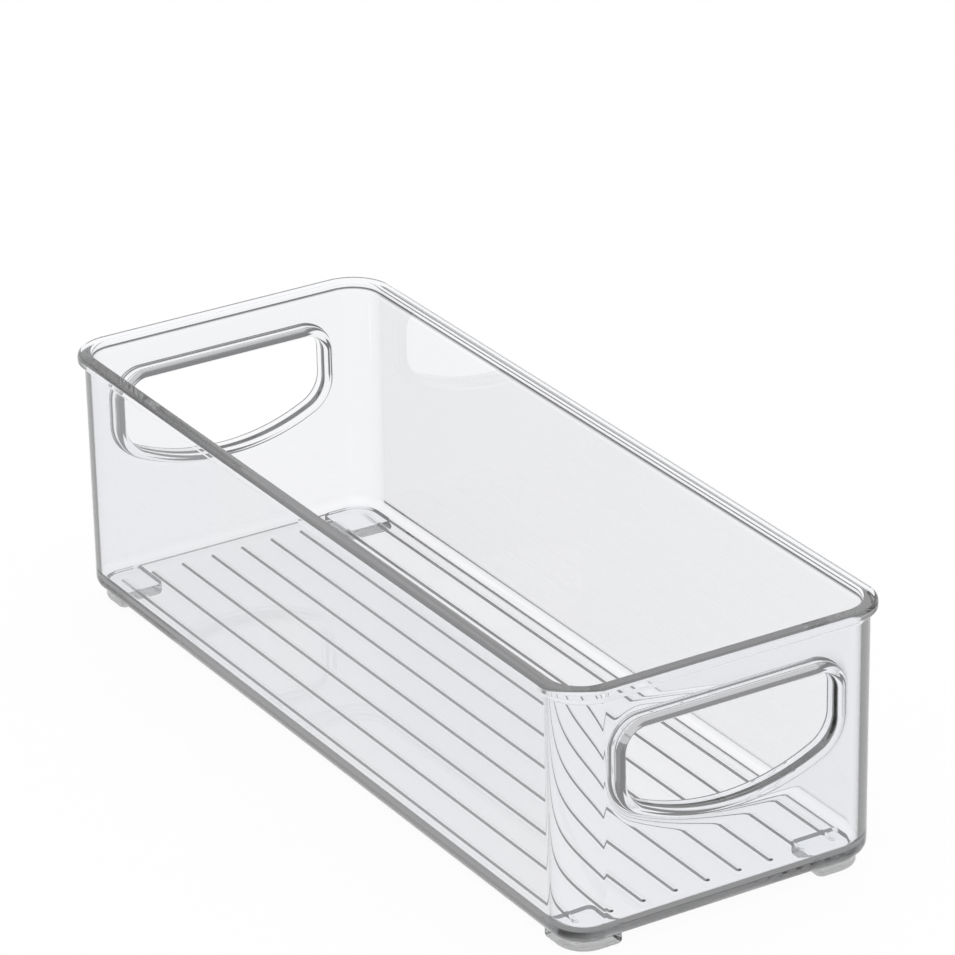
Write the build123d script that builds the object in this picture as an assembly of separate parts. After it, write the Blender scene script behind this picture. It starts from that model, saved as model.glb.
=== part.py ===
from build123d import *
import os
from math import cos, radians, sin, sqrt

# Clear storage bin with a hand hole in each short wall, on four soft pads. Millimetres.
# X runs across the bin, Y along it and Z up. The front handle is at -Y.
# The origin is on the table, under the middle of the bin.

# Overall sizes, over the rim and from the table to the top of the rim.
LENGTH = 260.8
WIDTH = 98.8
HEIGHT = 75.0

# Shell of the tub. The walls lean in by DRAFT from the rim down to the underside.
WALL = 2.2
FLOOR = 2.1
DRAFT = 0.3
CORNER_RADIUS = 11.0
BASE_EDGE_RADIUS = 3.5
FLOOR_EDGE_RADIUS = 3.9

# Rim flange round the mouth. At least RIM_UNDER_FLAT stays flat below it, between lip and blend.
RIM_OVERHANG = 1.9
RIM_HEIGHT = 2.8
RIM_TOP_ROUND = 1.1
RIM_LIP_ROUND = 0.7
RIM_UNDER_BLEND = 1.1
RIM_UNDER_FLAT = 0.1
MOUTH_ROUND = 0.9

# Hand hole: flat top, straight sides and a long sagging lower edge.
HOLE_HEIGHT = 27.3
HOLE_BELOW_RIM = 13.9
HOLE_TOP_RADIUS = 5.5
HOLE_SIDE_RADIUS = 9.0
HOLE_SAG_RADIUS = 60.0

# Thickened collar round the hand hole, proud of the wall outside and inside.
# Its sides stop COLLAR_SIDE_GAP short of where the end wall turns into its corners.
COLLAR_WIDTH = 2.8
COLLAR_SIDE_GAP = 2.3
COLLAR_STAND = 1.9
COLLAR_ROUND = 1.2
COLLAR_BLEND = 0.6

# Raised ribs along the floor.
RIB_WIDTH = 2.0
RIB_RISE = 0.4
RIB_ROUND = 0.3
RIB_PITCH = 9.65
RIB_END_GAP = 8.1

# Pads under the corners, each seated in a shallow recess of the underside. Their outer sides stand
# PAD_INSET inside the walls' outer faces, under the base edge, where the recess is PAD_SEAT_DEPTH deep.
PAD_RISE = 3.3
PAD_WIDTH = 15.2
PAD_LENGTH = 15.2
PAD_INSET = 2.6
PAD_CORNER_RADIUS = 2.2
PAD_FOOT_ROUND = 0.9
PAD_SEAT_DEPTH = 0.35
PAD_SEAT_CLEARANCE = 0.15

# Levels and widths that follow from the sizes above.
UNDERSIDE_Z = PAD_RISE
FLOOR_TOP_Z = UNDERSIDE_Z + FLOOR
RIM_UNDER_Z = HEIGHT - RIM_HEIGHT
END_FLAT_HALF = WIDTH / 2 - RIM_OVERHANG - CORNER_RADIUS
HOLE_HALF_WIDTH = END_FLAT_HALF - COLLAR_SIDE_GAP - COLLAR_WIDTH
HOLE_TOP_Z = HEIGHT - HOLE_BELOW_RIM
HOLE_LOW_Z = HOLE_TOP_Z - HOLE_HEIGHT
HOLE_MID_Z = (HOLE_TOP_Z + HOLE_LOW_Z) / 2
WALL_TALL = HEIGHT - UNDERSIDE_Z
PAD_UNDER_EDGE = max(BASE_EDGE_RADIUS - PAD_INSET, 0.0)
PAD_EDGE_RISE = BASE_EDGE_RADIUS - sqrt(BASE_EDGE_RADIUS ** 2 - PAD_UNDER_EDGE ** 2)
PAD_TOP_Z = UNDERSIDE_Z + PAD_EDGE_RISE + PAD_SEAT_DEPTH

# Distance within which two places count as the same, and the most degrees that a wall leans.
NEAR = 1e-3
LEAN_LIMIT = 10.0


def draft_at(z):
    """Inset of a wall at height z from its place at the top of the rim."""
    return DRAFT * (HEIGHT - z) / WALL_TALL


def outline(inset, z):
    """Rounded rectangle at height z, inset from the wall's outer face at the top of the rim."""
    width = WIDTH - 2 * RIM_OVERHANG - 2 * inset
    length = LENGTH - 2 * RIM_OVERHANG - 2 * inset
    return Pos(0, 0, z) * RectangleRounded(width, length, CORNER_RADIUS - inset)


def wall_prism(thickness, z_low, z_high):
    """Solid inside the wall's outer face pulled in by a thickness, with the walls' lean."""
    low = outline(thickness + draft_at(z_low), z_low)
    high = outline(thickness + draft_at(z_high), z_high)
    return loft([low.face(), high.face()], ruled=True)


def edges_at(solid, z):
    """Edges of a solid that lie wholly at one height."""
    return solid.edges().filter_by_position(Axis.Z, z - NEAR, z + NEAR)


def inner_edges(faces):
    """Edges of the holes in some faces."""
    return [edge for face in faces for wire in face.inner_wires() for edge in wire.edges()]


def make_outer_body():
    """Outer form of the tub: leaning walls, rounded base edge and the rim flange."""
    walls = wall_prism(0.0, UNDERSIDE_Z, HEIGHT)
    walls = fillet(edges_at(walls, UNDERSIDE_Z), BASE_EDGE_RADIUS)
    flange = extrude(outline(-RIM_OVERHANG, RIM_UNDER_Z), RIM_HEIGHT)
    flange = fillet(edges_at(flange, HEIGHT), RIM_TOP_ROUND)
    flange = fillet(edges_at(flange, RIM_UNDER_Z), RIM_LIP_ROUND)
    body = walls + flange
    under = body.faces().filter_by(Axis.Z).filter_by_position(Axis.Z, RIM_UNDER_Z - NEAR, RIM_UNDER_Z + NEAR)
    blend = min(RIM_UNDER_BLEND, RIM_OVERHANG - RIM_LIP_ROUND - RIM_UNDER_FLAT)
    return fillet(inner_edges(under), blend)


def make_cavity():
    """Space inside the tub, with the fillet where the walls meet the floor."""
    over = HEIGHT + RIM_HEIGHT
    space = wall_prism(WALL, FLOOR_TOP_Z, over)
    return fillet(edges_at(space, FLOOR_TOP_Z), FLOOR_EDGE_RADIUS)


def make_hole_outline(grow):
    """Outline of the hand hole in its own plane, moved outward by grow."""
    half = HOLE_HALF_WIDTH + grow
    top = HOLE_TOP_Z + grow
    low = HOLE_LOW_Z - grow
    top_r = HOLE_TOP_RADIUS + grow
    side_r = HOLE_SIDE_RADIUS + grow
    sag_r = HOLE_SAG_RADIUS + grow
    sag_z = low + sag_r
    side_x = half - side_r
    side_z = sag_z - sqrt((sag_r - side_r) ** 2 - side_x ** 2)
    join = (sag_r * side_x / (sag_r - side_r), sag_z - sag_r * (sag_z - side_z) / (sag_r - side_r))
    sag_mid = ((sag_r ** 2 - (join[0] / 2) ** 2) ** 0.5, join[0] / 2)
    across = Vector(join[0], join[1] - sag_z).get_angle(Vector(1, 0))
    turn = radians(across / 2)
    corner_mid = (side_x + side_r * cos(turn), side_z - side_r * sin(turn))
    diagonal = top_r * sqrt(0.5)
    round_x = half - top_r
    round_z = top - top_r
    right = [
        ThreePointArc((0, low), (sag_mid[1], sag_z - sag_mid[0]), join),
        ThreePointArc(join, corner_mid, (half, side_z)),
        Line((half, side_z), (half, round_z)),
        ThreePointArc((half, round_z), (round_x + diagonal, round_z + diagonal), (round_x, top)),
        Line((round_x, top), (0, top)),
    ]
    left = [mirror(edge, about=Plane.YZ) for edge in right]
    return make_face(Curve() + right + left)


def hand_hole_prism(grow, y_out, y_in):
    """Prism of the hand hole's outline at the front, from y_out to y_in."""
    face = Plane.XZ.offset(-y_in) * make_hole_outline(grow)
    return extrude(face, y_in - y_out)


def front_wall_y(z):
    """Outer face of the front wall at height z."""
    return -(LENGTH / 2 - RIM_OVERHANG - draft_at(z))


def make_collar():
    """Ring round the front hand hole, proud of both faces of the wall and round at its edges."""
    y_out = front_wall_y(HOLE_MID_Z) - COLLAR_STAND
    y_in = front_wall_y(HOLE_MID_Z) + WALL + COLLAR_STAND
    ring = hand_hole_prism(COLLAR_WIDTH, y_out, y_in) - hand_hole_prism(0.0, y_out, y_in)
    ends = ring.faces().filter_by(Axis.Y)
    return fillet([edge for face in ends for edge in face.edges()], COLLAR_ROUND)


def make_wall_opening():
    """Cutter that opens the front wall inside the collar."""
    y_out = front_wall_y(HEIGHT) - COLLAR_STAND
    y_in = front_wall_y(UNDERSIDE_Z) + WALL + COLLAR_STAND
    return hand_hole_prism(COLLAR_WIDTH / 2, y_out, y_in)


def make_ribs(floor_width, floor_length):
    """Round-ended ribs along the floor, as many as the flat of the floor takes."""
    count = int((floor_width - RIB_WIDTH) / RIB_PITCH) + 1
    length = floor_length - 2 * RIB_END_GAP
    ribs = []
    for number in range(count):
        x = (number - (count - 1) / 2) * RIB_PITCH
        slot = Pos(x, 0, UNDERSIDE_Z + FLOOR / 2) * Rot(0, 0, 90) * SlotOverall(length, RIB_WIDTH)
        rib = extrude(slot, FLOOR / 2 + RIB_RISE)
        ribs.append(fillet(edges_at(rib, FLOOR_TOP_Z + RIB_RISE), RIB_ROUND))
    return ribs


def make_pad_outline(grow):
    """Outline of the front left pad, whose outer corner follows the tub's corner."""
    inset = draft_at(UNDERSIDE_Z) + PAD_INSET
    x_out = WIDTH / 2 - RIM_OVERHANG - inset
    y_out = LENGTH / 2 - RIM_OVERHANG - inset
    region = Pos(PAD_WIDTH / 2 - x_out, PAD_LENGTH / 2 - y_out) * Rectangle(PAD_WIDTH, PAD_LENGTH)
    pad = region & outline(inset, 0)
    inner = [v for v in pad.vertices() if v.X > PAD_WIDTH - x_out - NEAR or v.Y > PAD_LENGTH - y_out - NEAR]
    pad = fillet(inner, PAD_CORNER_RADIUS)
    return offset(pad, grow) if grow else pad


def make_pad():
    """Front left pad, from the table up into its recess."""
    pad = extrude(make_pad_outline(0.0), PAD_TOP_Z)
    return fillet(edges_at(pad, 0.0), PAD_FOOT_ROUND)


def make_pad_seat():
    """Cutter for the recess that the front left pad sits in."""
    return extrude(make_pad_outline(PAD_SEAT_CLEARANCE), PAD_TOP_Z)


def four_corners(solid):
    """A front left solid and its copies at the other corners, by the names of the corners."""
    return {
        "front_left": solid,
        "front_right": mirror(solid, about=Plane.YZ),
        "rear_left": mirror(solid, about=Plane.XZ),
        "rear_right": Rot(0, 0, 180) * solid,
    }


def both_ends(solid):
    """A solid at the front wall and its mirror image at the rear wall."""
    return [solid, mirror(solid, about=Plane.XZ)]


def add_collars(tub):
    """The tub with its end walls opened, ringed by collars and blended into them."""
    for opening in both_ends(make_wall_opening()):
        tub = tub - opening
    for collar in both_ends(make_collar()):
        tub = tub + collar
    seams = []
    for face in tub.faces().filter_by(GeomType.PLANE):
        if abs(face.normal_at().Y) > cos(radians(LEAN_LIMIT)):
            seams += inner_edges([face]) if face.area > HOLE_HALF_WIDTH * HOLE_HEIGHT else []
    return fillet(seams, min(COLLAR_BLEND, (COLLAR_STAND - COLLAR_ROUND) / 2))


def make_tub():
    """The tub: shell, rim, collars round both hand holes, floor ribs and pad recesses."""
    inset = WALL + draft_at(FLOOR_TOP_Z)
    floor_width = WIDTH - 2 * RIM_OVERHANG - 2 * inset - 2 * FLOOR_EDGE_RADIUS
    floor_length = LENGTH - 2 * RIM_OVERHANG - 2 * inset
    tub = make_outer_body() - make_cavity()
    top = tub.faces().filter_by(Axis.Z).sort_by(Axis.Z)[-1]
    tub = fillet(inner_edges([top]), MOUTH_ROUND)
    tub = add_collars(tub)
    for rib in make_ribs(floor_width, floor_length):
        tub = tub + rib
    for seat in four_corners(make_pad_seat()).values():
        tub = tub - seat
    return tub


def main():
    """Build every piece and write each one to its own file."""
    os.makedirs("parts", exist_ok=True)
    pieces = {"tub": make_tub()}
    for corner, pad in four_corners(make_pad()).items():
        pieces["foot_" + corner] = pad
    for name, piece in pieces.items():
        export_step(piece.solid(), "parts/" + name + ".step")
        print(name, "volume", round(piece.volume), "solids", len(piece.solids()))


main()
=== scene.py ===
import logging
import math
from dataclasses import dataclass
from enum import Enum

import bpy
import numpy as np
from mathutils import Matrix, Vector
from mathutils.geometry import delaunay_2d_cdt


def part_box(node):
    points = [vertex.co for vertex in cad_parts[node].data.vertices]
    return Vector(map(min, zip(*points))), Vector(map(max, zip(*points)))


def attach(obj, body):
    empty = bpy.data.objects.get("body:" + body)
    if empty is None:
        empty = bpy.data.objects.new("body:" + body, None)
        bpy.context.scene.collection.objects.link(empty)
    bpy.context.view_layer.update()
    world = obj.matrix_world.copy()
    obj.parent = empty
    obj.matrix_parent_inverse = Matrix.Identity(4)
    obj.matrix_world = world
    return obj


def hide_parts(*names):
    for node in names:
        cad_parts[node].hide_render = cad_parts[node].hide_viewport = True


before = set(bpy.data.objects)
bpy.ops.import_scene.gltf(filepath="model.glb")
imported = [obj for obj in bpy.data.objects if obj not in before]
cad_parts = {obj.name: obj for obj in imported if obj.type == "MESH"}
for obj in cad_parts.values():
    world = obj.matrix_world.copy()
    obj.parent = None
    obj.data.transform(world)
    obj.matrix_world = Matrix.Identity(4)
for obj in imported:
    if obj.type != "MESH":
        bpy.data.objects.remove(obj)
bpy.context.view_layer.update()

# Looks of a clear storage bin with a hand hole in each short wall, on four soft pads.
# Metres. X runs across the bin, Y along it and Z up; the front handle is at -Y.
# The origin is on the table, under the middle of the bin.

MM = 0.001
BODY = "root"
QUARTER = math.pi / 2
SAME_PLACE = 1e-4 * MM
FILL_TOLERANCE = 1e-7
LOG = logging.getLogger("storage_bin")

Number = float | np.ndarray


class End(Enum):
    """The two short walls of the bin, by the sign of their Y."""

    FRONT = -1
    REAR = 1


class Corner(Enum):
    """The four corners of the bin, by the signs of their X and Y."""

    FRONT_LEFT = (-1, -1)
    FRONT_RIGHT = (1, -1)
    REAR_LEFT = (-1, 1)
    REAR_RIGHT = (1, 1)

    @property
    def node(self) -> str:
        """Name of the CAD node of the pad under this corner."""
        return "foot_" + self.name.lower()


class Slot(Enum):
    """Material slots that the record names."""

    PLASTIC = "clear_plastic"
    PAD = "clear_pad"


class Plane(Enum):
    """Pairs of axes in which flat stretches of the surface are filled."""

    LEVEL = (0, 1)
    END_WALL = (0, 2)


def mix(low: Number, high: Number, share: Number) -> Number:
    """Value at a share of the way from low to high."""
    return low + (high - low) * share


def inside(points: np.ndarray, loop: np.ndarray) -> np.ndarray:
    """Which points lie inside a closed loop.

    A point is inside if a level ray from it crosses the loop an odd number of times.

    Args:
        points: Points, with two numbers each.
        loop: The loop's corners, in order.

    Returns:
        True for each point inside.
    """
    x, y = points[:, :1], points[:, 1:]
    x0, y0 = loop[:, 0], loop[:, 1]
    x1, y1 = np.roll(x0, -1), np.roll(y0, -1)
    spans = (y0 > y) != (y1 > y)
    rise = np.where(y1 == y0, 1.0, y1 - y0)
    crossed = spans & (x < x0 + (x1 - x0) * (y - y0) / rise)
    return crossed.sum(axis=1) % 2 == 1


@dataclass(frozen=True)
class Arc:
    """A round stretch of an outline: its normal turns from start to end degrees about a centre."""

    centre: tuple[float, float]
    radius: float
    start: float
    end: float
    steps: int

    def sample(self) -> tuple[np.ndarray, np.ndarray]:
        """Points and normals along the arc.

        A point is the centre plus the radius times (cos a, sin a), and (cos a, sin a) is its normal.

        Returns:
            Points and unit normals, each with steps + 1 rows of two numbers.
        """
        angle = np.radians(np.linspace(self.start, self.end, self.steps + 1))
        normals = np.stack([np.cos(angle), np.sin(angle)], axis=1)
        return np.array(self.centre) + self.radius * normals, normals


@dataclass(frozen=True)
class Outline:
    """A closed outline in a plane: points, and unit normals along which it grows in parallel."""

    points: np.ndarray
    normals: np.ndarray

    @classmethod
    def from_arcs(cls, arcs: list[Arc]) -> "Outline":
        """Outline of arcs in order, with straight runs between those that don't meet.

        Args:
            arcs: The arcs, anticlockwise.

        Returns:
            The outline, where a point that two arcs share is kept once.
        """
        sampled = [arc.sample() for arc in arcs]
        points = np.concatenate([places for places, _ in sampled])
        normals = np.concatenate([normal for _, normal in sampled])
        fresh = np.linalg.norm(points - np.roll(points, 1, axis=0), axis=1) > SAME_PLACE
        return cls(points[fresh], normals[fresh])

    @classmethod
    def rounded_box(cls, low: tuple[float, float], high: tuple[float, float],
                    radii: tuple[float, float, float, float], steps: int) -> "Outline":
        """Rectangle with a radius of its own at each corner.

        Args:
            low: Lowest corner.
            high: Highest corner.
            radii: Corner radii at (+, +), (-, +), (-, -) and (+, -).
            steps: Straight pieces in each corner.

        Returns:
            The outline, anticlockwise from the +X side.
        """
        sides = ((1, 1), (0, 1), (0, 0), (1, 0))
        arcs = []
        for number, (side, radius) in enumerate(zip(sides, radii)):
            middle = tuple((b - radius) if s else (a + radius) for a, b, s in zip(low, high, side))
            arcs.append(Arc(middle, radius, 90.0 * number, 90.0 * number + 90.0, steps))
        return cls.from_arcs(arcs)


class Section:
    """A profile across an outline, in rows of grow, rise and lean.

    Grow is how far a row lies outside the outline and rise how far above its plane. The lean of
    a normal is an angle: 0 points away from the outline and a quarter turn points up. Each row
    has one column, or one for each point of the outline.
    """

    def __init__(self) -> None:
        """Start with no rows."""
        self.grow: list[np.ndarray] = []
        self.rise: list[np.ndarray] = []
        self.lean: list[np.ndarray] = []

    def add(self, grow: np.ndarray, rise: np.ndarray, lean: np.ndarray) -> None:
        """Add rows, given as arrays that broadcast to the same shape."""
        for rows, new in zip((self.grow, self.rise, self.lean), np.broadcast_arrays(grow, rise, lean)):
            rows.append(new)

    def bend(self, grow: Number, rise: Number, radius: float, start: Number, end: float, steps: int) -> None:
        """Add a round stretch.

        A row is the centre plus the radius times (cos a, sin a), where a is the lean. A radius
        below zero gives the hollow bend of a fillet.

        Args:
            grow: Grow of the centre.
            rise: Rise of the centre.
            radius: Radius, below zero in a hollow bend.
            start: Lean at the start, in radians.
            end: Lean at the end, in radians.
            steps: Straight pieces.
        """
        lean = mix(np.asarray(start), end, np.linspace(0.0, 1.0, steps + 1)[:, None])
        self.add(grow + radius * np.cos(lean), rise + radius * np.sin(lean), lean)

    def rows(self, columns: int) -> tuple[np.ndarray, np.ndarray, np.ndarray]:
        """All rows of grow, rise and lean, spread over a number of columns."""
        wide = [[np.broadcast_to(part, (len(part), columns)) for part in rows]
                for rows in (self.grow, self.rise, self.lean)]
        return tuple(np.concatenate(rows) for rows in wide)

    def mirrored(self, level: float) -> "Section":
        """The same rows from last to first, mirrored in a level of rise."""
        other = Section()
        for grow, rise, lean in zip(self.grow[::-1], self.rise[::-1], self.lean[::-1]):
            other.add(grow[::-1], 2 * level - rise[::-1], -lean[::-1])
        return other

    def join(self, other: "Section") -> None:
        """Add the rows of another section after these."""
        self.grow += other.grow
        self.rise += other.rise
        self.lean += other.lean


class Surface:
    """A closed surface, gathered from bands and flat fills that share their vertices."""

    def __init__(self) -> None:
        """Start with no vertices and no faces."""
        self.places: list[np.ndarray] = []
        self.normals: list[np.ndarray] = []
        self.faces: list[np.ndarray] = []
        self.count = 0

    def add_points(self, places: np.ndarray, normals: np.ndarray) -> np.ndarray:
        """Add a grid of vertices.

        Args:
            places: Places, with three numbers in the last axis.
            normals: Normals of the same shape, of any length.

        Returns:
            The vertices' numbers, in the grid's shape.
        """
        unit = normals / np.linalg.norm(normals, axis=-1, keepdims=True)
        self.places.append(places.reshape(-1, 3))
        self.normals.append(unit.reshape(-1, 3))
        numbers = self.count + np.arange(places[..., 0].size).reshape(places.shape[:-1])
        self.count += numbers.size
        return numbers

    def add_band(self, numbers: np.ndarray, left_open: np.ndarray | None = None) -> None:
        """Add the faces between the rows of a grid, each of which is a closed ring.

        Args:
            numbers: Vertices' numbers, a row for each ring.
            left_open: True where a face is left out.
        """
        right = np.roll(numbers, -1, axis=1)
        quads = np.stack([numbers[:-1], right[:-1], right[1:], numbers[1:]], axis=-1)
        quads = quads.reshape(-1, 4) if left_open is None else quads[~left_open]
        self.faces += [quads[:, [0, 1, 2]], quads[:, [0, 2, 3]]]

    def sweep(self, outline: Outline, section: Section) -> np.ndarray:
        """Add the vertices of a section carried along a level outline.

        A vertex is the outline's point plus grow times its normal, with the rise as its height.
        Its normal is cos(lean) times the outline's normal plus sin(lean) up.

        Args:
            outline: The outline, in X and Y.
            section: The section, whose rises are heights.

        Returns:
            The vertices' numbers, a row for each row of the section.
        """
        grow, rise, lean = (rows[..., None] for rows in section.rows(len(outline.points)))
        places = np.concatenate([outline.points + grow * outline.normals, rise], axis=-1)
        normals = np.concatenate([np.cos(lean) * outline.normals, np.sin(lean)], axis=-1)
        return self.add_points(places, normals)

    def fill(self, plane: Plane, rim: np.ndarray, holes: list[np.ndarray] | None = None) -> None:
        """Fill a flat stretch between a rim and its holes with triangles.

        Args:
            plane: The axes that the stretch is seen in.
            rim: Vertices' numbers round the outside, in order.
            holes: Vertices' numbers round each hole, in order.
        """
        loops = [rim, *(holes or [])]
        numbers = np.concatenate(loops)
        flat = np.concatenate(self.places)[numbers][:, list(plane.value)]
        stops = np.cumsum([len(loop) for loop in loops])
        rings = np.split(np.arange(len(numbers)), stops[:-1])
        edges = np.concatenate([np.stack([ring, np.roll(ring, -1)], axis=1) for ring in rings])
        points = [Vector(point) for point in (flat / MM).tolist()]
        _, _, faces, sources, _, _ = delaunay_2d_cdt(points, edges.tolist(), [], 1, FILL_TOLERANCE)
        triangles = np.array([source[0] for source in sources])[np.array(faces)]
        middles = flat[triangles].mean(axis=1)
        covered = [inside(middles, flat[ring]) for ring in rings[1:]]
        keep = ~np.any(covered, axis=0) if covered else np.ones(len(triangles), bool)
        self.faces.append(numbers[triangles[keep]])

    def build(self, name: str) -> bpy.types.Object:
        """Make a mesh object of the surface, with faces outward and the exact smooth normals.

        Args:
            name: Name of the object.

        Returns:
            The object, at the origin.
        """
        places, normals, faces = (np.concatenate(parts) for parts in (self.places, self.normals, self.faces))
        first, second, third = (places[faces[:, side]] for side in range(3))
        facing = np.einsum("ij,ij->i", np.cross(second - first, third - first), normals[faces].sum(axis=1))
        faces[facing < 0] = faces[facing < 0][:, ::-1]
        mesh = bpy.data.meshes.new(name)
        mesh.from_pydata(places, [], faces.tolist())
        mesh.polygons.foreach_set("use_smooth", np.ones(len(faces), bool))
        mesh.normals_split_custom_set_from_vertices(normals)
        mesh.update()
        piece = bpy.data.objects.new(name, mesh)
        bpy.context.scene.collection.objects.link(piece)
        return piece


@dataclass(frozen=True)
class Shell:
    """Sizes of the tub's floor, leaning walls, rounded base edge and flanged rim."""

    half_width: float
    half_length: float
    top: float
    underside: float
    wall: float = 2.2 * MM
    floor: float = 2.1 * MM
    draft: float = 0.3 * MM
    corner_radius: float = 11.0 * MM
    base_edge_radius: float = 3.5 * MM
    floor_edge_radius: float = 3.9 * MM
    rim_overhang: float = 1.9 * MM
    rim_height: float = 2.8 * MM
    rim_top_round: float = 1.1 * MM
    rim_lip_round: float = 0.7 * MM
    rim_under_blend: float = 1.8 * MM
    mouth_round: float = 0.9 * MM
    bend_steps: int = 10
    corner_steps: int = 28

    @property
    def slope(self) -> float:
        """How far the walls lean out for each metre up."""
        return self.draft / (self.top - self.underside)

    @property
    def floor_top(self) -> float:
        """Height of the floor's upper face."""
        return self.underside + self.floor

    @property
    def end_flat_half(self) -> float:
        """Half the width of an end wall's flat, up to where its corners turn."""
        return self.half_width - self.rim_overhang - self.corner_radius

    def outline(self) -> Outline:
        """The walls' outer face at the top of the rim."""
        high = (self.half_width - self.rim_overhang, self.half_length - self.rim_overhang)
        low = (-high[0], -high[1])
        return Outline.rounded_box(low, high, (self.corner_radius,) * 4, self.corner_steps)

    def outer_grow(self, height: Number) -> Number:
        """Grow of the walls' outer face at a height."""
        return -self.slope * (self.top - height)

    def end_wall_y(self, height: Number) -> Number:
        """Distance of an end wall's outer face from the middle of the bin, at a height."""
        return self.half_length - self.rim_overhang + self.outer_grow(height)

    def section(self) -> Section:
        """From the flat of the underside, up the outside, over the rim and down to the flat of the floor.

        Returns:
            The section, with its bends in the order base edge, rim's underside, lip, crown,
            mouth and floor edge.
        """
        tilt = math.atan(self.slope)
        slant = math.cos(tilt)
        rim_z = self.top - self.rim_height
        base, under, lip = self.base_edge_radius, self.rim_under_blend, self.rim_lip_round
        crown, mouth, foot = self.rim_top_round, self.mouth_round, self.floor_edge_radius
        base_z = self.underside + base
        mouth_z, foot_z = self.top - mouth, self.floor_top + foot
        steps, few = self.bend_steps, self.bend_steps // 2
        section = Section()
        section.bend(self.outer_grow(base_z) - base / slant, base_z, base, -QUARTER, -tilt, steps)
        bend = lip + under
        turn = math.acos(1 - (self.rim_overhang - self.outer_grow(rim_z)) / bend)
        lip_grow, lip_z = self.rim_overhang - lip, rim_z + lip
        hollow_grow, hollow_z = lip_grow + bend * math.cos(turn), lip_z - bend * math.sin(turn)
        section.bend(hollow_grow, hollow_z, -under, -tilt, -turn, steps)
        section.bend(lip_grow, lip_z, lip, -turn, 0.0, few)
        section.bend(self.rim_overhang - crown, self.top - crown, crown, 0.0, QUARTER, steps)
        inner = self.outer_grow(mouth_z) - self.wall
        section.bend(inner + mouth / slant, mouth_z, mouth, QUARTER, math.pi - tilt, steps)
        inner = self.outer_grow(foot_z) - self.wall
        section.bend(inner - foot / slant, foot_z, -foot, math.pi - tilt, QUARTER, steps)
        return section


@dataclass(frozen=True)
class HandHole:
    """Sizes of a hand hole and of the thickened collar round it."""

    height: float = 27.3 * MM
    below_rim: float = 13.9 * MM
    top_radius: float = 5.5 * MM
    side_radius: float = 9.0 * MM
    sag_radius: float = 60.0 * MM
    collar_width: float = 2.8 * MM
    collar_side_gap: float = 2.3 * MM
    collar_stand: float = 1.9 * MM
    collar_round: float = 1.2 * MM
    collar_blend: float = 0.35 * MM
    flare_rise: float = 0.3 * MM
    flare_side: float = 1.7 * MM
    flare_long: float = 4.0 * MM
    bend_steps: int = 8

    def outline(self, shell: Shell) -> Outline:
        """Edge of the hole: flat top, straight sides and a long sagging lower edge.

        The sag's arc and each side corner's arc touch where one line runs through both centres.

        Args:
            shell: The shell that the hole is cut in.

        Returns:
            The outline, in X and Z.
        """
        half = shell.end_flat_half - self.collar_side_gap - self.collar_width
        top = shell.top - self.below_rim
        sag_z = top - self.height + self.sag_radius
        side_x = half - self.side_radius
        drop = math.sqrt((self.sag_radius - self.side_radius) ** 2 - side_x ** 2)
        side_z = sag_z - drop
        swing = math.degrees(math.atan2(side_x, drop))
        round_x, round_z = half - self.top_radius, top - self.top_radius
        steps = 2 * self.bend_steps
        return Outline.from_arcs([
            Arc((round_x, round_z), self.top_radius, 0.0, 90.0, steps),
            Arc((-round_x, round_z), self.top_radius, 90.0, 180.0, steps),
            Arc((-side_x, side_z), self.side_radius, 180.0, 270.0 - swing, steps),
            Arc((0.0, sag_z), self.sag_radius, 270.0 - swing, 270.0 + swing, 2 * steps),
            Arc((side_x, side_z), self.side_radius, 270.0 + swing, 360.0, steps),
        ])

    def outer_section(self, outline: Outline) -> Section:
        """From the flat of the wall up a soft flare, over the collar and down to the hole's edge.

        The flare rises as the square of the way in. It is wide above and below the hole and
        narrow beside it: its width follows the square of the outline normal's upright part.

        Args:
            outline: The hole's outline.

        Returns:
            The section, whose rises are distances out of the wall.
        """
        width = mix(self.flare_side, self.flare_long, outline.normals[:, 1] ** 2)
        steep = 2 * self.flare_rise / width
        start = QUARTER - np.arctan(steep)
        blend, bead = self.collar_blend, self.collar_round
        foot = self.collar_width + blend * (1 - np.cos(start))
        way = np.linspace(0.0, 1.0, self.bend_steps)[:-1, None]
        section = Section()
        section.add(foot + width * (1 - way), self.flare_rise * way ** 2, QUARTER - np.arctan(steep * way))
        section.bend(self.collar_width + blend, self.flare_rise + blend * np.sin(start), -blend,
                     start, 0.0, self.bend_steps)
        top = self.collar_stand - bead
        section.bend(self.collar_width - bead, top, bead, 0.0, QUARTER, self.bend_steps)
        section.bend(bead, top, bead, QUARTER, math.pi, self.bend_steps)
        return section

    def add_to(self, surface: Surface, shell: Shell, end: End) -> tuple[np.ndarray, np.ndarray]:
        """Add the collar and the way through the wall at one end.

        Args:
            surface: The surface to add to.
            shell: The shell that the hole is cut in.
            end: Which end.

        Returns:
            Vertices' numbers where the collar meets the wall's outer and inner face.
        """
        outline = self.outline(shell)
        section = self.outer_section(outline)
        section.join(section.mirrored(-shell.wall / 2))
        grow, rise, lean = section.rows(len(outline.points))
        level = outline.points + grow[..., None] * outline.normals
        x, z = level[..., 0], level[..., 1]
        y = end.value * (shell.end_wall_y(z) + rise)
        across = np.cos(lean)[..., None] * outline.normals
        out = end.value * np.sin(lean)
        up = across[..., 1] - end.value * shell.slope * out
        places = np.stack([x, y, z], axis=-1)
        normals = np.stack([across[..., 0], out, up], axis=-1)
        numbers = surface.add_points(places, normals)
        surface.add_band(numbers)
        return numbers[0], numbers[-1]


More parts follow.
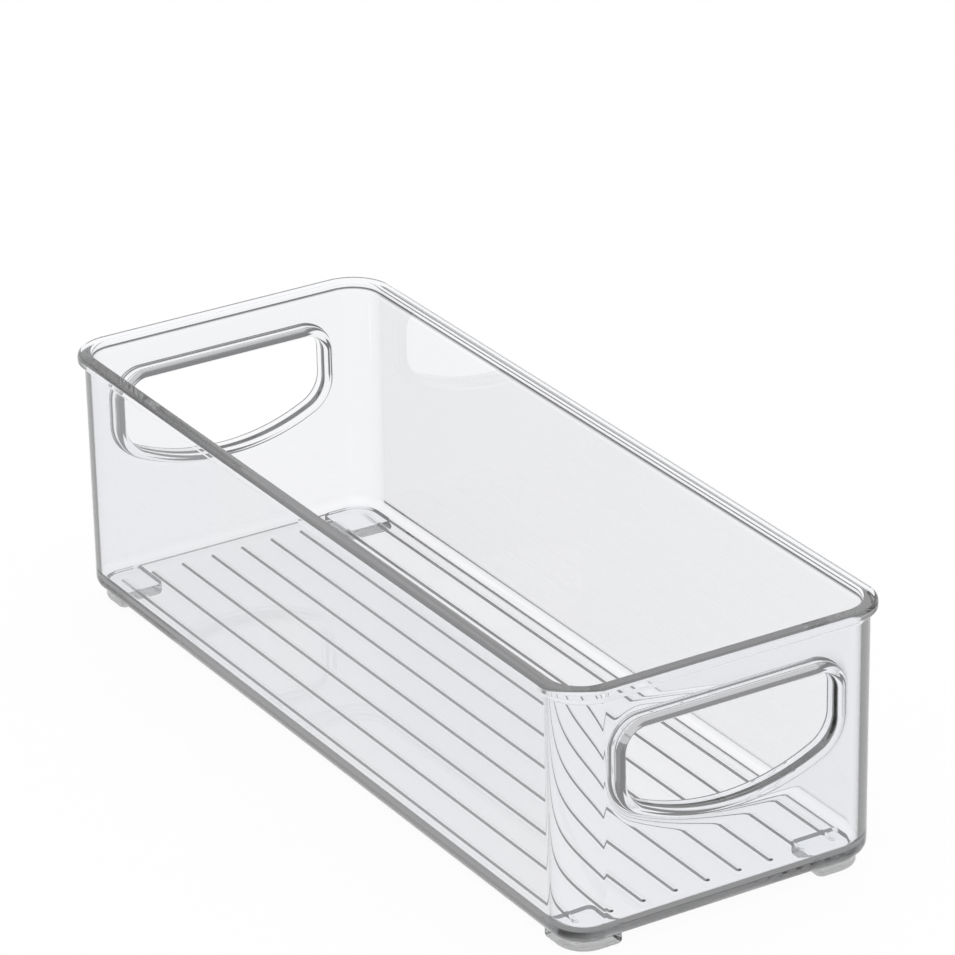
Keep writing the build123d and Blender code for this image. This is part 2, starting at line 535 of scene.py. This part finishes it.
@dataclass(frozen=True)
class FloorRibs:
    """Sizes of the raised ribs along the floor."""

    width: float = 2.0 * MM
    rise: float = 0.4 * MM
    top_flat: float = 0.1 * MM
    foot_blend: float = 0.4 * MM
    pitch: float = 9.65 * MM
    end_gap: float = 8.1 * MM
    end_steps: int = 10
    bend_steps: int = 5

    def add_to(self, surface: Surface, shell: Shell) -> list[np.ndarray]:
        """Add the ribs, as many as the flat of the floor takes.

        Args:
            surface: The surface to add to.
            shell: The shell whose floor they stand on.

        Returns:
            Vertices' numbers round the foot of each rib.
        """
        inset = shell.wall - shell.outer_grow(shell.floor_top)
        flat = 2 * (shell.half_width - shell.rim_overhang - inset - shell.floor_edge_radius)
        reach = shell.half_length - shell.rim_overhang - inset - self.end_gap - self.width / 2
        count = int((flat - self.width) / self.pitch) + 1
        side = (self.width - self.top_flat) / 2
        both = (side ** 2 + self.rise ** 2) / (2 * self.rise)
        crown = both - self.foot_blend
        meet = math.asin((both - self.rise) / both)
        section = Section()
        section.bend(0.0, shell.floor_top + self.foot_blend, -self.foot_blend, QUARTER, meet, self.bend_steps)
        section.bend(-side, shell.floor_top + self.rise - crown, crown, meet, QUARTER, self.bend_steps)
        feet = []
        for x in (np.arange(count) - (count - 1) / 2) * self.pitch:
            ends = [Arc((x, reach), self.width / 2, 0.0, 180.0, self.end_steps),
                    Arc((x, -reach), self.width / 2, 180.0, 360.0, self.end_steps)]
            numbers = surface.sweep(Outline.from_arcs(ends), section)
            surface.add_band(numbers)
            surface.fill(Plane.LEVEL, numbers[-1])
            feet.append(numbers[0])
        return feet


@dataclass(frozen=True)
class Pads:
    """Sizes of the soft pads, whose tops reach a hair into the tub's underside, as if bonded there."""

    corner_radius: float = 2.2 * MM
    foot_round: float = 0.9 * MM
    edge_round: float = 0.15 * MM
    bond: float = 0.05 * MM
    corner_steps: int = 10
    bend_steps: int = 8

    def inset(self, shell: Shell, corner: Corner) -> float:
        """How far a pad's outer sides stand inside the walls' outer face at the top of the rim.

        Args:
            shell: The shell that the pad sits under.
            corner: Which corner.

        Returns:
            The distance.
        """
        low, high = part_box(corner.node)
        return shell.half_width - shell.rim_overhang - max(-low.x, high.x)

    def top(self, shell: Shell, corner: Corner) -> float:
        """Height of a pad's top: the tub's rounded base edge over the pad's outer sides, and the bond.

        The edge rises there by its radius, less the root of the difference between the squares
        of its radius and of the part of it that the pad reaches under.

        Args:
            shell: The shell that the pad sits under.
            corner: Which corner.

        Returns:
            The height.
        """
        radius = shell.base_edge_radius
        under = max(radius - self.inset(shell, corner), 0.0)
        return shell.underside + radius - math.sqrt(radius ** 2 - under ** 2) + self.bond

    def outline(self, shell: Shell, corner: Corner) -> Outline:
        """Outline of a pad, whose outer corner follows the tub's corner.

        Args:
            shell: The shell that the pad sits under.
            corner: Which corner.

        Returns:
            The outline, in X and Y.
        """
        low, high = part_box(corner.node)
        follow = shell.corner_radius - self.inset(shell, corner)
        order = ((1, 1), (-1, 1), (-1, -1), (1, -1))
        radii = tuple(follow if signs == corner.value else self.corner_radius for signs in order)
        return Outline.rounded_box((low.x, low.y), (high.x, high.y), radii, self.corner_steps)

    def build(self, shell: Shell, corner: Corner) -> bpy.types.Object:
        """Make a pad: flat below, round at the foot, and flat where it is bonded to the tub.

        Args:
            shell: The shell that the pad sits under.
            corner: Which corner.

        Returns:
            The pad.
        """
        foot, edge = self.foot_round, self.edge_round
        top = self.top(shell, corner)
        section = Section()
        section.bend(-foot, foot, foot, -QUARTER, 0.0, self.bend_steps)
        section.bend(-edge, top - edge, edge, 0.0, QUARTER, self.bend_steps // 2)
        surface = Surface()
        numbers = surface.sweep(self.outline(shell, corner), section)
        surface.add_band(numbers)
        surface.fill(Plane.LEVEL, numbers[0])
        surface.fill(Plane.LEVEL, numbers[-1])
        return surface.build("clear_pad_" + corner.name.lower())


@dataclass(frozen=True)
class Tub:
    """The tub: shell, hand holes with their collars, and floor ribs."""

    shell: Shell
    hole: HandHole
    ribs: FloorRibs

    def build(self) -> bpy.types.Object:
        """Make the tub as one closed surface.

        Returns:
            The tub.
        """
        surface = Surface()
        shell = self.shell
        section = shell.section()
        last = np.cumsum([len(part) for part in section.grow]) - 1
        grid = surface.sweep(shell.outline(), section)
        corner = shell.corner_steps + 1
        columns = {End.REAR: corner - 1, End.FRONT: 3 * corner - 1}
        walls = {"outer": last[0], "inner": last[4]}
        left_open = np.zeros((len(grid) - 1, grid.shape[1]), bool)
        for end, column in columns.items():
            outer, inner = self.hole.add_to(surface, shell, end)
            for row, hole in ((walls["outer"], outer), (walls["inner"], inner)):
                left_open[row, column] = True
                rim = grid[[row, row, row + 1, row + 1], [column, column + 1, column + 1, column]]
                surface.fill(Plane.END_WALL, rim, [hole])
        surface.add_band(grid, left_open)
        surface.fill(Plane.LEVEL, grid[0])
        surface.fill(Plane.LEVEL, grid[-1], self.ribs.add_to(surface, shell))
        return surface.build("clear_tub")


def linear(code: str) -> tuple[float, float, float, float]:
    """Linear colour of an sRGB hex value such as "#F7F9FD".

    Args:
        code: The hex value.

    Returns:
        Red, green, blue and an alpha of 1.
    """
    shares = np.array([int(code[at:at + 2], 16) for at in (1, 3, 5)]) / 255
    light = np.where(shares <= 0.04045, shares / 12.92, ((shares + 0.055) / 1.055) ** 2.4)
    return (*light.tolist(), 1.0)


def add_node(tree: bpy.types.NodeTree, kind: str, inputs: dict | None = None, **settings) -> bpy.types.Node:
    """Add a node with its settings, and set or link its inputs.

    Args:
        tree: The node tree.
        kind: The node's type.
        inputs: Value or output socket for each input, by the input's name or number.
        settings: Properties of the node.

    Returns:
        The node.
    """
    node = tree.nodes.new(kind)
    for name, value in settings.items():
        setattr(node, name, value)
    for name, value in (inputs or {}).items():
        if isinstance(value, bpy.types.NodeSocket):
            tree.links.new(value, node.inputs[name])
        else:
            node.inputs[name].default_value = value
    return node


def empty_material(name: str) -> bpy.types.Material:
    """Make a material whose node tree is empty.

    Args:
        name: Name of the material.

    Returns:
        The material.
    """
    material = bpy.data.materials.new(name)
    material.use_nodes = True
    material.node_tree.nodes.clear()
    return material


def add_noise(tree: bpy.types.NodeTree, length: float, detail: float) -> bpy.types.NodeSocket:
    """Add a noise pattern fixed to the object.

    Args:
        tree: The node tree.
        length: Length of the pattern's largest waves.
        detail: Octaves of finer waves.

    Returns:
        The pattern, from 0 to 1.
    """
    place = add_node(tree, "ShaderNodeTexCoord").outputs["Object"]
    settings = {"Vector": place, "Scale": 1 / length, "Detail": detail}
    return add_node(tree, "ShaderNodeTexNoise", settings).outputs["Fac"]


def add_range(tree: bpy.types.NodeTree, value: bpy.types.NodeSocket, source: tuple[float, float],
              target: tuple[float, float]) -> bpy.types.NodeSocket:
    """Map a value evenly from one range to another, and no further.

    Args:
        tree: The node tree.
        value: The value.
        source: Low and high end that the value comes from.
        target: Low and high end that it is mapped to.

    Returns:
        The mapped value.
    """
    ends = {"From Min": source[0], "From Max": source[1], "To Min": target[0], "To Max": target[1]}
    return add_node(tree, "ShaderNodeMapRange", {"Value": value, **ends}).outputs[0]


def add_tint(tree: bpy.types.NodeTree, share: bpy.types.NodeSocket,
             first: str, second: str) -> bpy.types.NodeSocket:
    """Mix two colours.

    Args:
        tree: The node tree.
        share: Share of the second colour.
        first: First colour, as a hex value.
        second: Second colour, as a hex value.

    Returns:
        The mixed colour.
    """
    colours = {"Factor": share, 6: linear(first), 7: linear(second)}
    return add_node(tree, "ShaderNodeMix", colours, data_type="RGBA").outputs[2]


@dataclass(frozen=True)
class ClearPolystyrene:
    """General purpose polystyrene, injection moulded in a polished tool.

    It gives the eye water-clear walls with a very faint cold tint and a glassy gloss. Melt flow
    leaves a long soft waviness.
    """

    name: str = "clear_polystyrene"
    body: str = "#FEFEFF"
    streak: str = "#FBFCFF"
    ior: float = 1.57
    roughness: tuple[float, float] = (0.0, 0.02)
    flow_length: float = 60.0 * MM
    flow_detail: float = 2.0
    haze_length: float = 9.0 * MM
    haze_detail: float = 4.0
    haze_span: tuple[float, float] = (0.45, 0.75)
    wave_height: float = 0.004 * MM

    def material(self) -> bpy.types.Material:
        """Make the material.

        Returns:
            The material.
        """
        material = empty_material(self.name)
        tree = material.node_tree
        flow = add_noise(tree, self.flow_length, self.flow_detail)
        haze = add_noise(tree, self.haze_length, self.haze_detail)
        tint = add_tint(tree, flow, self.body, self.streak)
        gloss = add_range(tree, haze, self.haze_span, self.roughness)
        height = {"Height": flow, "Distance": self.wave_height, "Strength": 1.0}
        wave = add_node(tree, "ShaderNodeBump", height)
        shader = add_node(tree, "ShaderNodeBsdfPrincipled", {
            "Base Color": tint, "Roughness": gloss, "IOR": self.ior,
            "Transmission Weight": 1.0, "Normal": wave.outputs[0]})
        add_node(tree, "ShaderNodeOutputMaterial", {"Surface": shader.outputs[0]})
        return material


@dataclass(frozen=True)
class ClearElastomer:
    """Clear soft thermoplastic elastomer, moulded as small pads.

    It gives the eye a pale, faintly milky body whose gloss is a little softer than the tub's. Real
    elastomer bends light more, with an ior of 1.4 to 1.5. The lower value here is a choice of looks,
    meant to weaken the pads' outlines where they are seen through the floor.
    """

    name: str = "clear_elastomer"
    body: str = "#FDFEFF"
    cloud: str = "#F6F8FA"
    ior: float = 1.33
    roughness: tuple[float, float] = (0.02, 0.08)
    cloud_length: float = 4.0 * MM
    cloud_detail: float = 3.0
    cloud_span: tuple[float, float] = (0.3, 0.7)

    def material(self) -> bpy.types.Material:
        """Make the material.

        Returns:
            The material.
        """
        material = empty_material(self.name)
        tree = material.node_tree
        cloud = add_noise(tree, self.cloud_length, self.cloud_detail)
        tint = add_tint(tree, cloud, self.body, self.cloud)
        gloss = add_range(tree, cloud, self.cloud_span, self.roughness)
        shader = add_node(tree, "ShaderNodeBsdfPrincipled", {
            "Base Color": tint, "Roughness": gloss, "IOR": self.ior, "Transmission Weight": 1.0})
        add_node(tree, "ShaderNodeOutputMaterial", {"Surface": shader.outputs[0]})
        return material


@dataclass(frozen=True)
class Studio:
    """White table and surroundings, which give all the light, and the camera.

    Both are white where they are seen straight on or through the plastic. A ray that was also
    mirrored on its way sees them darker, by its count of mirrorings. That is a device of looks and
    not how light works: it greys the rim, the base edge and the corners. Its levels were chosen to
    bring these near the photo's greys, and under plain light they are lighter.
    """

    floor_size: float = 6.0
    white: str = "#FFFFFF"
    sky_glimpses: tuple[float, float] = (0.6, 0.3)
    table_glimpses: tuple[float, float] = (0.25, 0.18)
    shade_share: float = 0.06
    azimuth: float = -31.195
    elevation: float = 24.754
    roll: float = -1.098
    distance: float = 1477.14 * MM
    slide: tuple[float, float] = (4.013 * MM, 65.256 * MM)
    focal_length: float = 206.725
    clip: tuple[float, float] = (0.05, 50.0)
    bounces: int = 64

    def brightness(self, tree: bpy.types.NodeTree, glimpses: tuple[float, float]) -> bpy.types.NodeSocket:
        """Brightness that a ray sees, which falls with the times that it was mirrored.

        The count is the ray's glossy depth, for a ray that has passed a surface of the plastic,
        and zero for any other.

        Args:
            tree: The node tree.
            glimpses: Brightness after one mirroring, and after more.

        Returns:
            The brightness, 1 for white.
        """
        once, often = glimpses
        path = add_node(tree, "ShaderNodeLightPath").outputs
        passed, mirrored = path["Transmission Depth"], path["Glossy Depth"]
        entered = add_node(tree, "ShaderNodeMath", {0: passed, 1: 0.5}, operation="GREATER_THAN").outputs[0]
        count = add_node(tree, "ShaderNodeMath", {0: mirrored, 1: entered}, operation="MULTIPLY").outputs[0]
        first = add_range(tree, count, (0.0, 1.0), (1.0, once))
        later = add_range(tree, count, (1.0, 2.0), (0.0, once - often))
        return add_node(tree, "ShaderNodeMath", {0: first, 1: later}, operation="SUBTRACT").outputs[0]

    def add_floor(self) -> bpy.types.Object:
        """Lay the table, white as it is seen, with a faint shadow under the bin.

        Returns:
            The floor.
        """
        half = self.floor_size / 2
        mesh = bpy.data.meshes.new("table")
        corners = [(-half, -half, 0.0), (half, -half, 0.0), (half, half, 0.0), (-half, half, 0.0)]
        mesh.from_pydata(corners, [], [(0, 1, 2, 3)])
        floor = bpy.data.objects.new("table", mesh)
        bpy.context.scene.collection.objects.link(floor)
        material = empty_material("white_table")
        tree = material.node_tree
        level = self.brightness(tree, self.table_glimpses)
        glow = add_node(tree, "ShaderNodeEmission", {"Color": linear(self.white), "Strength": level})
        paint = add_node(tree, "ShaderNodeBsdfDiffuse", {"Color": linear(self.white)})
        shaders = {0: self.shade_share, 1: glow.outputs[0], 2: paint.outputs[0]}
        both = add_node(tree, "ShaderNodeMixShader", shaders)
        add_node(tree, "ShaderNodeOutputMaterial", {"Surface": both.outputs[0]})
        mesh.materials.append(material)
        return floor

    def add_world(self) -> None:
        """Surround the bin with white."""
        world = bpy.data.worlds.new("white_room")
        bpy.context.scene.world = world
        world.use_nodes = True
        tree = world.node_tree
        tree.nodes.clear()
        level = self.brightness(tree, self.sky_glimpses)
        sky = add_node(tree, "ShaderNodeBackground", {"Color": linear(self.white), "Strength": level})
        add_node(tree, "ShaderNodeOutputWorld", {"Surface": sky.outputs[0]})

    def add_camera(self) -> bpy.types.Object:
        """Set up the camera.

        It looks along an azimuth and an elevation at the origin, turned by a roll, and is then
        slid right and up in its own plane.

        Returns:
            The camera.
        """
        turn, lift, roll = (math.radians(angle) for angle in (self.azimuth, self.elevation, self.roll))
        back = Vector((math.sin(turn) * math.cos(lift), -math.cos(turn) * math.cos(lift), math.sin(lift)))
        right = Vector((math.cos(turn), math.sin(turn), 0.0))
        up = back.cross(right)
        across = math.cos(roll) * right + math.sin(roll) * up
        above = math.cos(roll) * up - math.sin(roll) * right
        data = bpy.data.cameras.new("camera")
        data.lens = self.focal_length
        data.clip_start, data.clip_end = self.clip
        camera = bpy.data.objects.new("camera", data)
        bpy.context.scene.collection.objects.link(camera)
        place = back * self.distance + across * self.slide[0] + above * self.slide[1]
        camera.matrix_world = Matrix.Translation(place) @ Matrix((across, above, back)).transposed().to_4x4()
        bpy.context.scene.camera = camera
        return camera

    def set_bounces(self) -> None:
        """Let light be mirrored often enough inside the rim and the base edge before it is given up."""
        cycles = bpy.context.scene.cycles
        cycles.max_bounces = self.bounces
        cycles.transmission_bounces = self.bounces
        cycles.glossy_bounces = self.bounces


def dress(piece: bpy.types.Object, node: str, material: bpy.types.Material) -> None:
    """Give a piece its finish and let it stand for its CAD node.

    Args:
        piece: The piece.
        node: The CAD node that it replaces.
        material: The finish.
    """
    piece.data.materials.append(material)
    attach(piece, BODY)
    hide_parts(node)
    LOG.info("%s stands for %s: %d triangles", piece.name, node, len(piece.data.polygons))


def main() -> None:
    """Build the bin piece by piece, then the studio."""
    logging.basicConfig(level=logging.INFO, format="%(name)s: %(message)s")
    low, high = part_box("tub")
    shell = Shell(high.x, high.y, high.z, low.z)
    tub = Tub(shell, HandHole(), FloorRibs())
    dress(tub.build(), "tub", ClearPolystyrene().material())
    pads = Pads()
    soft = ClearElastomer().material()
    for corner in Corner:
        dress(pads.build(shell, corner), corner.node, soft)
    studio = Studio()
    studio.add_floor()
    studio.add_world()
    studio.add_camera()
    bpy.context.scene.view_settings.view_transform = "Standard"
    studio.set_bounces()


if __name__ == "__main__":
    main()
